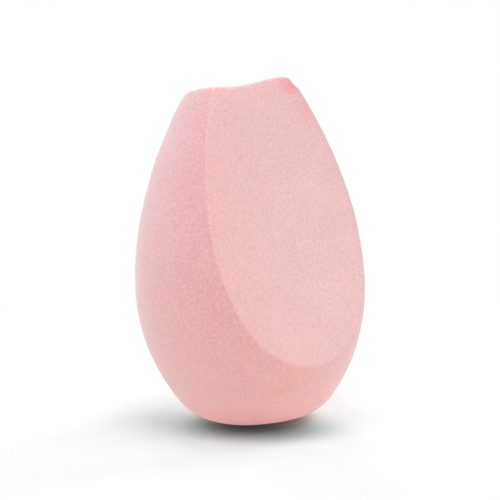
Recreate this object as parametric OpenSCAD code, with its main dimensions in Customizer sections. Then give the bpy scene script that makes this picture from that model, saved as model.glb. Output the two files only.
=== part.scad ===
/* [Overall] */
// Height of the sponge from its foot to the ridge across its tip
sponge_h = 60; // [54:0.5:66]
// Width of the sponge at its widest ring
belly_d = 40; // [36:0.5:44]
// Height of the widest ring above the foot
belly_h = 23.5; // [21:0.5:26]

/* [Side curves] */
// Radius of the nose curve, which runs from the shoulder up to the tip
nose_r = 74; // [66:1:90]
// Radius of the shoulder curve, just above the widest ring
shoulder_r = 57; // [45:1:65]
// Inward slope at which the shoulder curve runs into the nose curve, degrees
shoulder_slope = 10.5; // [5:0.5:15]
// Radius of the curve just under the widest ring
under_r = 32.5; // [29:0.5:38]
// Radius of the heel, the tight curve round the bottom
heel_r = 8.5; // [5:0.5:11]
// Radius of the domed bottom inside the heel
dome_r = 30; // [24:1:40]
// Depth to which the dome is flattened where the sponge stands
foot_depth = 0.5; // [0.3:0.1:1]

/* [Flat cuts] */
// Lean of the bevel back from upright, degrees
bevel_lean = 17.5; // [12:0.5:22]
// Distance of the ridge in front of the sponge's axis
ridge_forward = 3; // [1:0.5:5]
// Fall of the tip cut from the ridge towards the back, degrees
tip_fall = 10; // [4:0.5:20]

/* [Hidden] */
$fn = 180;

// Dyed through, so a cut face has the colour of the skin
foam_pink = [0.93, 0.71, 0.72];
// Turn of the side's slope from one point of its outline to the next, degrees
outline_turn = 2;
// How far the cutting blocks pass the foam
overrun = 1;
// Rise of straight up from straight forward, degrees
straight_up = 90;

belly_r = belly_d / 2;

// The centre of each curve, as its distance from the axis and its height
dome_centre = [0, dome_r - foot_depth];
under_centre = [belly_r - under_r, belly_h];
shoulder_centre = [belly_r - shoulder_r, belly_h];
nose_centre = shoulder_centre + (shoulder_r - nose_r) * slope_way(shoulder_slope);
heel_centre = outer_crossing(dome_centre, dome_r - heel_r, under_centre, under_r - heel_r);

// The slopes at which the foot ends, the curves run into one another and the
// nose curve comes to the axis. The widest ring is at slope 0.
foot_slope = -acos(sqrt(dome_r * dome_r - dome_centre[1] * dome_centre[1]) / dome_r);
dome_slope = slope_between(dome_centre, heel_centre);
heel_slope = slope_between(under_centre, heel_centre);
tip_slope = acos(-nose_centre[0] / nose_r);

// The blank comes to a point before its tip is cut off
blank_h = nose_centre[1] + nose_r * sin(tip_slope);
cut_reach = blank_h + overrun;

// Half of the blank's outline, from the middle of the foot to the point.
// Each curve starts at the slope where the one below it ends, so no crease shows.
half_outline = concat(
    [[0, 0]],
    curve_points(dome_centre, dome_r, foot_slope, dome_slope),
    curve_points(heel_centre, heel_r, dome_slope, heel_slope),
    curve_points(under_centre, under_r, heel_slope, 0),
    curve_points(shoulder_centre, shoulder_r, 0, shoulder_slope),
    curve_points(nose_centre, nose_r, shoulder_slope, tip_slope),
    [[0, blank_h]]
);

// The direction that faces out and up at a slope
function slope_way(slope) = [cos(slope), sin(slope)];

// The slope of the way from one point to another
function slope_between(start, finish) = atan2(finish[1] - start[1], finish[0] - start[0]);

// Points on a curve from its lower slope up to just before its upper one
function curve_points(centre, radius, lower, upper) =
    let (steps = ceil((upper - lower) / outline_turn))
    [for (k = [0 : steps - 1]) centre + radius * slope_way(lower + (upper - lower) * k / steps)];

// Of the two points where two circles cross, the one that lies further out and lower
function outer_crossing(first, first_r, second, second_r) =
    let (
        apart = norm(second - first),
        way = (second - first) / apart,
        along = (apart * apart + first_r * first_r - second_r * second_r) / (2 * apart),
        aside = sqrt(first_r * first_r - along * along)
    )
    first + along * way + aside * [-way[1], way[0]];

// Everything outside a plane that passes through the ridge from side to side
// and whose outward direction rises from straight forward by the angle given
module beyond_ridge_plane(rise) {
    translate([0, -ridge_forward, sponge_h])
        rotate([-rise, 0, 0])
            translate([-cut_reach, -2 * cut_reach, -cut_reach])
                cube(2 * cut_reach);
}

// One moulded teardrop of soft foam. A long bevel takes off its front, and
// a short cut takes off its tip and falls away to the back.
module foam_body() {
    color(foam_pink)
        difference() {
            rotate_extrude() polygon(half_outline);
            beyond_ridge_plane(bevel_lean);
            beyond_ridge_plane(straight_up + tip_fall);
        }
}

foam_body();
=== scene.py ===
"""Makeup sponge in pink foam, standing on a white table."""

import math
import random

import bpy
import numpy as np
from mathutils import Matrix, Vector


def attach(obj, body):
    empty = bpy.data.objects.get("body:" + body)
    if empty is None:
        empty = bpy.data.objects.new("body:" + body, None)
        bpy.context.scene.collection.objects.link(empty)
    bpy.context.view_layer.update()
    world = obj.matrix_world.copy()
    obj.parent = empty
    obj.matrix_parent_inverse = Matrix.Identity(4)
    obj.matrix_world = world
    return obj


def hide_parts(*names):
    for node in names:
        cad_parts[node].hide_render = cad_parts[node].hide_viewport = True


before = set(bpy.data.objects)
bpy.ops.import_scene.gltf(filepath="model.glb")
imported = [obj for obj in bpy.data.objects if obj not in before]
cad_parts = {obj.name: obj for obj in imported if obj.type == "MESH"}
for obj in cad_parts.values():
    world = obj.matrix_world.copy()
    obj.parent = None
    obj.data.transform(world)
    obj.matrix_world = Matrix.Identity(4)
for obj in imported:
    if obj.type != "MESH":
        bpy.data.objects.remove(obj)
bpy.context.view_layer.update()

# Foam body
# The sponge is one piece of soft open-cell polyurethane foam, dyed pink all through.
# It is moulded as a round teardrop, and a blade then takes a long bevel off its front
# and a short slice off its tip, both through one ridge.
mm = 0.001

sponge_height = 60 * mm
belly_radius = 20 * mm
belly_height = 23.5 * mm
dome_radius = 30 * mm
heel_radius = 8.5 * mm
under_radius = 32.5 * mm
shoulder_radius = 57 * mm
nose_radius = 74 * mm
nose_start = math.radians(10.5)
foot_depth = 0.5 * mm

# Each curve of the mould has its centre at a distance from the axis and a height. The
# heel touches the dome and the under curve: its centre makes a triangle with theirs.
dome_centre = Vector((0, dome_radius - foot_depth))
under_centre = Vector((belly_radius - under_radius, belly_height))
shoulder_centre = Vector((belly_radius - shoulder_radius, belly_height))
nose_way = Vector((math.cos(nose_start), math.sin(nose_start)))
nose_centre = shoulder_centre + (shoulder_radius - nose_radius) * nose_way
dome_to_heel = dome_radius - heel_radius
under_to_heel = under_radius - heel_radius
apart = under_centre - dome_centre
along = (apart.length_squared + dome_to_heel**2 - under_to_heel**2) / (2 * apart.length)
aside = math.sqrt(dome_to_heel**2 - along**2)
across = Vector((-apart.y, apart.x)).normalized()
heel_centre = dome_centre + along * apart.normalized() + aside * across


def slope_of(way):
    """The slope of a direction in the outline's plane, up from straight outwards."""
    return math.atan2(way.y, way.x)


foot_radius = math.sqrt(dome_radius**2 - dome_centre.y**2)
foot_end = -math.acos(foot_radius / dome_radius)
dome_end = slope_of(heel_centre - dome_centre)
heel_end = slope_of(heel_centre - under_centre)
nose_end = math.acos(-nose_centre.x / nose_radius)


def turn_curve(centre, from_slope, to_slope):
    """Carries the end of the outline on round one curve, with a point each degree."""
    bpy.ops.mesh.spin(
        steps=math.ceil(math.degrees(to_slope - from_slope)),
        angle=to_slope - from_slope,
        center=(centre.x, 0, centre.y),
        axis=(0, 1, 0),
    )


bpy.ops.object.select_all(action="DESELECT")
bpy.ops.mesh.primitive_plane_add(size=foot_radius, location=(0, 0, 0))
foam = bpy.context.object
foam.name = "foam"
bpy.ops.object.mode_set(mode="EDIT")
bpy.ops.mesh.merge(type="CENTER")
bpy.ops.mesh.extrude_region_move(TRANSFORM_OT_translate={"value": (foot_radius, 0, 0)})
turn_curve(dome_centre, foot_end, dome_end)
turn_curve(heel_centre, dome_end, heel_end)
turn_curve(under_centre, heel_end, 0)
turn_curve(shoulder_centre, 0, nose_start)
turn_curve(nose_centre, nose_start, nose_end)

# The half outline is kept as heights and radii, and then turned once round the axis.
bpy.ops.object.mode_set(mode="OBJECT")
outline = sorted((v.co.z, v.co.x) for v in foam.data.vertices if v.co.x > 0)
outline_height, outline_radius = np.array(outline).T
bpy.ops.object.mode_set(mode="EDIT")
bpy.ops.mesh.select_all(action="SELECT")
bpy.ops.mesh.spin(steps=240, angle=2 * math.pi, center=(0, 0, 0), axis=(0, 0, 1))
bpy.ops.mesh.select_all(action="SELECT")
bpy.ops.mesh.remove_doubles(threshold=0.001 * mm)
bpy.ops.mesh.normals_make_consistent(inside=False)

# Both cuts pass through the ridge.
ridge = Vector((0, -3 * mm, sponge_height))
bevel_lean = math.radians(17.5)
tip_fall = math.radians(10)
bevel_way = Vector((0, -math.cos(bevel_lean), math.sin(bevel_lean)))
tip_way = Vector((0, math.sin(tip_fall), math.cos(tip_fall)))
for way in (bevel_way, tip_way):
    bpy.ops.mesh.select_all(action="SELECT")
    bpy.ops.mesh.bisect(plane_co=ridge, plane_no=way, use_fill=True, clear_outer=True)
bpy.ops.object.mode_set(mode="OBJECT")


def finish_with(kind, **settings):
    """Adds a modifier to the foam, sets it and applies it."""
    bpy.ops.object.modifier_add(type=kind)
    modifier = foam.modifiers[-1]
    for name, value in settings.items():
        setattr(modifier, name, value)
    bpy.ops.object.modifier_apply(modifier=modifier.name)


# An even mesh, and a light smoothing that takes the sharpness off the cut edges.
mesh_spacing = 0.315 * mm
finish_with("REMESH", mode="VOXEL", voxel_size=mesh_spacing)
finish_with("SMOOTH", factor=0.5, iterations=3)


def places():
    """Where the foam's points are, one row each."""
    flat = np.empty(3 * len(foam.data.vertices))
    foam.data.vertices.foreach_get("co", flat)
    return flat.reshape(-1, 3)


def mark(name, amounts):
    """Keeps a number for each point of the foam, for its colours to follow."""
    marks = foam.data.attributes.new(name, "FLOAT", "POINT")
    marks.data.foreach_set("value", np.asarray(amounts, np.float32))


# How deep each point lies under the two cuts and under the moulded skin, in mm. The
# least of the three says which surface it is on, and the next how far off an edge is.
# The skin turns into a cut's face over less than half a millimetre.
skin_to_cut = 0.4
points = places()
under_bevel = (np.array(ridge) - points) @ np.array(bevel_way) / mm
under_tip = (np.array(ridge) - points) @ np.array(tip_way) / mm
skin_radius = np.interp(points[:, 2], outline_height, outline_radius)
under_skin = (skin_radius - np.hypot(points[:, 0], points[:, 1])) / mm
depths = np.sort(np.stack([under_bevel, under_tip, under_skin]), axis=0)
under_cut = np.minimum(under_bevel, under_tip)
mark("from_edge", depths[1])
mark("cut_face", np.clip(0.5 - (under_cut - under_skin) / skin_to_cut, 0, 1))

# The foam swells unevenly as it rises, and its cells leave fine relief on every face.
# Each relief has a size and a depth in mm.
for size, depth in ((7, 0.06), (2, 0.04), (0.5, 0.06)):
    lumps = bpy.data.textures.new("lumps", type="CLOUDS")
    lumps.noise_scale = size * mm
    lumps.noise_depth = 1
    finish_with("DISPLACE", texture=lumps, texture_coords="LOCAL", strength=depth * mm)
    bpy.data.textures.remove(lumps)


def work(tool, chosen, reach=0, **settings):
    """Uses a tool on some of the foam's points. What is within reach in mm follows."""
    bpy.ops.object.mode_set(mode="EDIT")
    bpy.ops.mesh.select_all(action="DESELECT")
    bpy.ops.object.mode_set(mode="OBJECT")
    foam.data.vertices.foreach_set("select", chosen)
    bpy.ops.object.mode_set(mode="EDIT")
    if reach:
        settings["use_proportional_edit"] = True
        settings["proportional_edit_falloff"] = "SMOOTH"
        settings["proportional_size"] = reach * mm
    tool(**settings)
    bpy.ops.object.mode_set(mode="OBJECT")


# The edge between the skin and the tip's cut is rubbed round, most of all at the left.
# The ridge itself stays as it was cut.
rub_width = 1.6
off_ridge = 1
tip_edge = (under_tip < rub_width) & (under_skin < rub_width)
tip_edge &= under_bevel > off_ridge
for right_end, rubs in ((20, 4), (-3, 16)):
    rubbed = tip_edge & (points[:, 0] < right_end * mm)
    work(bpy.ops.mesh.vertices_smooth, rubbed, factor=0.5, repeat=rubs)


def distance(points, place):
    """How far each point is from a place, in mm."""
    return np.linalg.norm(points / mm - place, axis=1)


def in_metres(lengths):
    """Lengths in mm, turned into metres."""
    return [x * mm for x in lengths]


# The blade wandered a little: the ridge sags in its middle and is up at its left end,
# and the tip's cut falls away at the back. Both corners are worn, and the front of the
# foot, which comes last, stands a little off the table. Each row has the place, the
# reach and the move in mm. The foam is held by the points that are nearest the place.
grip = 0.4
points = places()
for place, reach, move in (
    ((-3, -3, 60), 6, (0, 0, -0.42)),
    ((-9.1, -1.2, 59.8), 5, (0, 0, 0.12)),
    ((9.2, -3, 60), 2.3, (-0.2, 0, -0.3)),
    ((-7.8, 5.8, 58.4), 3, (0.12, -0.09, -0.25)),
    ((1.5, 4, 58.8), 8, (0, 0, -1)),
    ((3.5, 9, 58), 6, (0, 0, -1.4)),
    ((7, 6.5, 58.3), 4.5, (0, 0, -0.9)),
    ((9.3, 2.6, 59), 4.5, (0, 0, -0.5)),
    ((-1.5, -6, 0.3), 7, (0, 0, 0.17)),
):
    off = distance(points, place)
    held = off < off.min() + grip
    work(bpy.ops.transform.translate, held, reach, value=in_metres(move))

# The right end of the ridge is rubbed round too.
ridge_end = (9.3, -3, 59.5)
rubbed = distance(places(), ridge_end) < 1.5
work(bpy.ops.mesh.vertices_smooth, rubbed, factor=0.5, repeat=10)


def at_height(points, height):
    """Which points are within half a millimetre of a height in mm."""
    return abs(points[:, 2] / mm - height) < 0.5


# Soft foam also leans, so the belly stands a little to the side of the foot and of the
# tip. Each row has the height, the reach and the lean in mm.
lean_way = Vector((-0.8, 0.6, 0))
for level, reach, lean in ((27, 22, 0.12), (57, 14, -0.14), (6, 10, -0.12)):
    held = at_height(points, level)
    work(bpy.ops.transform.translate, held, reach, value=lean_way * lean * mm)

# It narrows a little more than the mould below its tip.
narrow_reach = 9
for level, share in ((54, 0.988), (45, 0.994)):
    held = at_height(points, level)
    work(bpy.ops.transform.resize, held, narrow_reach, value=(share, share, 1))

# Here and there a larger cell of the foam has broken open and left a pore. The first
# are on the side that is seen, each with its place and width in mm. The others are
# drawn at random, and only a share of those on the front is kept.
pores = [
    (-13.6, -1.2, 51.0, 0.32),
    (-17.8, -3.8, 37.6, 0.25),
    (-19.7, -2.1, 28.0, 0.28),
    (-2.9, -16.0, 18.8, 0.24),
    (2.3, -9.0, 40.9, 0.2),
    (9.1, -15.4, 20.8, 0.2),
]
random_pores = 26
front_y = -2
front_share = 0.25
narrowest, widest = 0.18, 0.3
points = places()
draw = random.Random(4)
for _ in range(random_pores):
    pick = points[draw.randrange(len(points))] / mm
    if pick[1] > front_y or draw.random() < front_share:
        pores.append((*pick, draw.uniform(narrowest, widest)))

# Each is pressed in by half its width, and painted shade darkens it and a little round
# it.
pit_reach = 0.6
least_reach = 0.16
dark_reach = 1.4
pore = np.zeros(len(points))
for *spot, width in pores:
    off = distance(points, spot)
    pore = np.maximum(pore, np.clip(dark_reach - off / width, 0, 1))
    pit = off < max(pit_reach * width, least_reach)
    work(bpy.ops.transform.shrink_fatten, pit, value=-0.5 * width * mm)
mark("pore", pore)


def nodes_of(owner):
    """The nodes and the wires of a material, or of the world."""
    owner.use_nodes = True
    return owner.node_tree.nodes, owner.node_tree.links


def set_up(node, inputs):
    """Sets a node's inputs to values or colours, or wires other nodes' outputs in."""
    for name, source in inputs.items():
        socket = node.inputs[name]
        if isinstance(source, bpy.types.NodeSocket):
            wires.new(source, socket)
        elif socket.type == "RGBA":
            socket.default_value = (*source, 1)
        else:
            socket.default_value = source


def add_node(kind, inputs=None, **settings):
    """Adds a node to the material in hand, the one that nodes and wires belong to."""
    node = nodes.new(kind)
    for name, value in settings.items():
        setattr(node, name, value)
    set_up(node, inputs or {})
    return node


material = bpy.data.materials.new("pink foam")
nodes, wires = nodes_of(material)
coordinates = add_node("ShaderNodeTexCoord").outputs["Object"]
by_axis = add_node("ShaderNodeSeparateXYZ", {"Vector": coordinates})
side = by_axis.outputs["X"]
height = by_axis.outputs["Z"]

# A Mix node's inputs for colours have the same names as its inputs for numbers, so they
# go by their places.
first_colour, second_colour, mixed_colour = 6, 7, 2


def mix_in(colour, other, amount, blend_type="MIX"):
    """Mixes another colour into a colour, by an amount that varies over the surface."""
    node = add_node("ShaderNodeMix", data_type="RGBA", blend_type=blend_type)
    set_up(node, {"Factor": amount, first_colour: colour, second_colour: other})
    return node.outputs[mixed_colour]


def tint(colour, other, amount):
    """Multiplies a colour by another, by an amount that varies over the surface."""
    return mix_in(colour, other, amount, "MULTIPLY")


def spread(value, low, high, to_low=0, to_high=1):
    """Maps a value smoothly from one range to another."""
    node = add_node("ShaderNodeMapRange", interpolation_type="SMOOTHSTEP")
    ends = {"From Min": low, "From Max": high, "To Min": to_low, "To Max": to_high}
    set_up(node, {"Value": value, **ends})
    return node.outputs["Result"]


def times(first, second):
    """The product of two amounts."""
    node = add_node("ShaderNodeMath", {0: first, 1: second}, operation="MULTIPLY")
    return node.outputs["Value"]


def attribute(name):
    """A number that was kept for each point of the foam."""
    return add_node("ShaderNodeAttribute", attribute_name=name).outputs["Fac"]


# The skin is a deeper pink than the cuts. Painted light makes the foot the brightest
# and reddest. Higher up, painted light makes the pink cooler and painted shade makes it
# a little darker, and painted shade darkens it along the edges and the rims of the
# cuts.
# The bevel is pinker at its left, apart from its top.
skin_pink = (0.817, 0.504, 0.508)
foot_pink_painted_light = (0.962, 0.519, 0.49)
cool_painted_light = (0.972, 1, 1.045)
cut_pink = (0.898, 0.616, 0.622)
left_tint = (1, 0.963, 0.958)
crown_painted_shade = (0.968, 0.978, 0.988)
edge_painted_shade = (0.955, 0.975, 0.98)
rim_painted_shade = (0.972, 0.99, 0.985)
from_edge = attribute("from_edge")
cut_face = attribute("cut_face")
# Painted light at the foot.
colour = mix_in(skin_pink, foot_pink_painted_light, spread(height, 0, 9 * mm, 1, 0))
# Painted light: cooler higher up.
colour = tint(colour, cool_painted_light, spread(height, 15 * mm, 45 * mm))
colour = mix_in(colour, cut_pink, cut_face)
left_cut = times(cut_face, spread(side, -14 * mm, 4 * mm, 1, 0))
left_cut = times(left_cut, spread(height, 50 * mm, 60 * mm, 1, 0))
colour = tint(colour, left_tint, left_cut)
# Painted shade: darker higher up.
colour = tint(colour, crown_painted_shade, spread(height, 33 * mm, 60 * mm))
# Painted shade along the edges and the rims of the cuts.
along_edge = times(spread(from_edge, 0, 1.2, 1, 0), spread(height, 8 * mm, 40 * mm))
colour = tint(colour, edge_painted_shade, along_edge)
colour = tint(colour, rim_painted_shade, times(cut_face, spread(from_edge, 0.6, 3.2, 1, 0)))


def reach_from(centre, turn, size):
    """How far a place is from a centre in mm, in sizes of an oval turned by degrees."""
    oval = add_node("ShaderNodeMapping", {"Vector": coordinates}, vector_type="TEXTURE")
    turned = [math.radians(x) for x in turn]
    set_up(oval, {"Location": in_metres(centre), "Rotation": turned, "Scale": size})
    off = add_node("ShaderNodeVectorMath", operation="LENGTH")
    set_up(off, {0: oval.outputs["Vector"]})
    return off.outputs["Value"]


# The deeper red that light shining through the thin right corner of the tip gives,
# there and some way down its edge, is painted light. The deeper pink on the foot and at
# its right front is painted shade. Makeup has left a peach streak low on the front, a
# faint patch above it, and a wide trace round both. Each row has the centre in mm, the
# turn in degrees, the size in mm and the tint, full in the core and gone past the rim.
core, rim = 0.3, 1.1
for centre, turn, size, stain_and_painted_light in (
    # Painted light: the red of light through the tip's thin corner, and down its edge.
    ((7.9, -3.2, 58.9), (0, 0, 0), (3.2, 3, 2.8), (0.98, 0.78, 0.78)),
    ((10.2, -4.6, 55.3), (0, -14, 0), (3.5, 3, 8), (0.995, 0.91, 0.91)),
    # Painted shade: on the foot, and at its right front.
    ((0, 0, 0), (0, 0, 0), (9, 9, 1.2), (0.88, 0.76, 0.74)),
    ((3.5, -13, 3.2), (0, 0, 0), (7.5, 4, 2.8), (0.935, 0.965, 0.965)),
    # Makeup stains.
    ((-5.8, -15.4, 8.5), (0, -20, -31), (3.3, 1.4, 1.15), (1, 0.955, 0.82)),
    ((-3.4, -17.2, 11.2), (0, -15, -20), (3.2, 1.5, 1.5), (1, 0.985, 0.93)),
    ((-5.6, -16.3, 10), (0, -15, -31), (6.5, 5, 4.2), (1, 0.995, 0.948)),
):
    off = reach_from(centre, turn, in_metres(size))
    colour = tint(colour, stain_and_painted_light, spread(off, core, rim, 1, 0))


def noise(scale, roughness=0.5):
    """A random pattern on the foam, with its size in lumps to the metre."""
    node = add_node("ShaderNodeTexNoise", {"Vector": coordinates})
    set_up(node, {"Scale": scale, "Detail": 2, "Roughness": roughness})
    return node.outputs["Fac"]


# The dye is a little uneven. The cells show as fine grain with painted shade in their
# hollows, fainter low down and on the cuts, and low down an even painted shade takes
# its place. The pores carry painted shade as well.
dye_tint = (0.985, 0.975, 0.975)
low_painted_shade = (0.98, 0.961, 0.961)
cell_painted_shade = (0.89, 0.8, 0.8)
pore_painted_shade = (0.88, 0.8, 0.82)
dye_scale = 150
cell_scale = 2600
grain_low, grain_high = 2 * mm, 28 * mm
colour = tint(colour, dye_tint, spread(noise(dye_scale), 0.35, 0.65))
grain = noise(cell_scale, 0.8)
grain_depth = times(spread(grain, 0.62, 0.38), spread(cut_face, 0, 1, 1, 0.8))
grain_depth = times(grain_depth, spread(height, grain_low, grain_high, 0.6, 1))
# Painted shade: evenly low down, in the cells' hollows and in the pores.
colour = tint(colour, low_painted_shade, spread(height, grain_low, grain_high, 1, 0))
colour = tint(colour, cell_painted_shade, grain_depth)
colour = tint(colour, pore_painted_shade, attribute("pore"))
bump_depth = 0.05 * mm
bump = add_node("ShaderNodeBump", {"Height": grain, "Distance": bump_depth})

# Light goes some way into the foam and comes out pinker, and its cells leave no gloss
# but a faint sheen.
surface = nodes["Principled BSDF"]
foam_finish = {
    "Roughness": 0.95,
    "Specular IOR Level": 0.1,
    "Subsurface Weight": 1,
    "Subsurface Radius": (1, 0.3, 0.3),
    "Subsurface Scale": 4 * mm,
    "Sheen Weight": 0.3,
    "Sheen Roughness": 0.5,
}
set_up(surface, {**foam_finish, "Base Color": colour, "Normal": bump.outputs["Normal"]})
foam.data.materials.append(material)
bpy.ops.object.shade_smooth()

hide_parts("foam_body")
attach(foam, "root")

# Table
# A plain white table top under the sponge. It looks white wherever the sponge does not
# shade it, has a painted shadow close to the foot, and glows faintly to give the sponge
# some light from below.
table_radius = 2000 * mm
white = (1, 1, 1)
black = (0, 0, 0)
pale = (0.9, 0.9, 0.9)
under_glow = (0.155, 0.155, 0.155)
bpy.ops.object.select_all(action="DESELECT")
bpy.ops.mesh.primitive_circle_add(
    vertices=96, radius=table_radius, fill_type="NGON", location=(0, 0, 0)
)
table = bpy.context.object
table.name = "table"
table_white = bpy.data.materials.new("table white")
nodes, wires = nodes_of(table_white)
coordinates = add_node("ShaderNodeTexCoord").outputs["Object"]
farthest = 120


def by_reach(centre, stops, turn=0, longer=1):
    """A colour that changes with the distance from a place on the table, in mm.

    The rings of one colour are ovals when longer is over 1, turned by some degrees.
    """
    off = reach_from(centre, (0, 0, turn), (longer, 1, 1))
    share = add_node("ShaderNodeMapRange", {"Value": off, "From Max": farthest * mm})
    ramp = add_node("ShaderNodeValToRGB", {"Fac": share.outputs["Result"]})
    ramp.color_ramp.interpolation = "EASE"
    marks = ramp.color_ramp.elements
    marks.remove(marks[1])
    for number, (far, shade) in enumerate(stops):
        stop = marks.new(far / farthest) if number else marks[0]
        stop.position = far / farthest
        stop.color = (*shade, 1)
    return ramp.outputs["Color"]


# The painted shadow round the foot is a long oval in the table's own colour. Close to
# the foot that colour is less red, which makes up for the pink light that the foam
# throws on the table there.
foot = (0, 0, 0)
front_of_foot = (-5, -4.4, 0)
shade_turn = -66
shade_longer = 1.8
painted_shadow_stops = (
    (0, (0.12, 0.22, 0.22)),
    (12.4, (0.826, 0.886, 0.886)),
    (26, (0.866, 0.899, 0.899)),
    (60, (0.893, 0.9, 0.9)),
)
less_red = (1.05, 1.51, 1.51)
near_foot = by_reach(foot, ((0, white), (23.5, black)))
# Painted shadow in the table's colour.
shade = by_reach(front_of_foot, painted_shadow_stops, shade_turn, shade_longer)
seen = add_node("ShaderNodeBsdfDiffuse", {"Color": tint(shade, less_red, near_foot)})
glow = add_node("ShaderNodeEmission", {"Color": white, "Strength": 1})
fade = by_reach(foot, ((45, black), (110, white)))
by_distance = add_node("ShaderNodeMixShader", {"Fac": fade})
set_up(by_distance, {1: seen.outputs["BSDF"], 2: glow.outputs["Emission"]})
top = nodes["Principled BSDF"]
set_up(top, {"Base Color": pale, "Roughness": 1, "Specular IOR Level": 0})
# The table top glows faintly near the sponge, to light it from below.
under_light = by_reach(foot, ((20, under_glow), (80, black)))
set_up(top, {"Emission Color": under_light, "Emission Strength": 1})


def looks():
    """1 for what the camera sees, in a mirror or through glass too, and 0 for light."""
    ray = add_node("ShaderNodeLightPath")
    total = ray.outputs["Is Camera Ray"]
    for kind in ("Is Glossy Ray", "Is Transmission Ray"):
        both = {0: total, 1: ray.outputs[kind]}
        total = add_node("ShaderNodeMath", both, operation="MAXIMUM").outputs["Value"]
    return total


by_ray = add_node("ShaderNodeMixShader", {"Fac": looks()})
set_up(by_ray, {1: top.outputs["BSDF"], 2: by_distance.outputs["Shader"]})
set_up(nodes["Material Output"], {"Surface": by_ray.outputs["Shader"]})
table.data.materials.append(table_white)

# Light
# Soft round panels stand all round the sponge, each turned to its middle. One set
# lights the sponge and another the table, where it makes a short shadow. Each row has
# a name, the turn from the front and the rise in degrees, and the power in watts.
middle = Vector((0, 0, 30 * mm))
panel_distance = 600 * mm
panel_size = 300 * mm
lowest_panel = 160 * mm
sponge_panels = (
    ("top", 0, 85, 0.42),
    ("front", 0, 35, 0.2),
    ("front high", 0, 60, 0.2),
    ("right front", 45, 35, 0.12),
    ("right high", 60, 60, 0.23),
    ("back high", 180, 60, 0.48),
    ("left back high", 240, 60, 1.03),
    ("left high", 300, 60, 0.88),
    ("left low", 300, 8, 0.22),
    ("left front low", 330, 8, 0.48),
)
table_panels = (
    ("table top", 0, 85, 1.02),
    ("table front", 0, 60, 0.48),
    ("table right front", 45, 35, 0.4),
    ("table right", 90, 35, 1.02),
    ("table back right", 120, 8, 0.68),
    ("table back", 150, 8, 1.87),
    ("table back left", 180, 8, 1.3),
    ("table left", 240, 60, 0.61),
)


def way_to(turn, rise):
    """The way from the sponge's middle to a place so far round and up, in degrees."""
    turn, rise = math.radians(turn), math.radians(rise)
    level = math.cos(rise)
    return Vector((math.sin(turn) * level, -math.cos(turn) * level, math.sin(rise)))


for lit, panels in ((foam, sponge_panels), (table, table_panels)):
    only_that = bpy.data.collections.new("lights on " + lit.name)
    only_that.objects.link(lit)
    for name, turn, rise, power in panels:
        place = middle + panel_distance * way_to(turn, rise)
        place.z = max(place.z, lowest_panel)
        bpy.ops.object.light_add(type="AREA", location=place)
        panel = bpy.context.object
        panel.name = name
        panel.data.shape = "DISK"
        panel.data.size = panel_size
        panel.data.energy = power
        panel.rotation_euler = (place - middle).to_track_quat("Z", "Y").to_euler()
        panel.visible_camera = False
        panel.light_linking.receiver_collection = only_that

# The air round the sponge and the table is white to look at, and it lights both a
# little from all sides.
air_light = 0.324
world = bpy.data.worlds.new("studio air")
bpy.context.scene.world = world
nodes, wires = nodes_of(world)
strength = add_node("ShaderNodeMapRange", {"Value": looks()})
set_up(strength, {"To Min": air_light, "To Max": 1})
set_up(nodes["Background"], {"Color": white, "Strength": strength.outputs["Result"]})

# Camera
# It looks at the sponge's middle from the front and left, a little from above, and
# leans a little to its side. Its long lens shows the sponge nearly without perspective.
view_turn = -36.63
view_rise = 11.777
view_roll = math.radians(2.733)
view_distance = 500 * mm
lens = 206.9
sensor = 36
picture_width = 500
back = way_to(view_turn, view_rise)
sideways = way_to(view_turn + 90, 0)
upright = back.cross(sideways)
camera_right = sideways * math.cos(view_roll) - upright * math.sin(view_roll)
camera_up = sideways * math.sin(view_roll) + upright * math.cos(view_roll)

# The view is moved to the right by one pixel of the picture.
one_pixel = view_distance * sensor / lens / picture_width
place = middle + back * view_distance + camera_right * one_pixel
turned = Matrix((camera_right, camera_up, back)).transposed().to_4x4()
bpy.ops.object.camera_add()
camera = bpy.context.object
camera.data.sensor_width = sensor
camera.data.lens = lens
camera.matrix_world = Matrix.Translation(place) @ turned
bpy.context.scene.camera = camera

bpy.context.scene.view_settings.view_transform = "Standard"
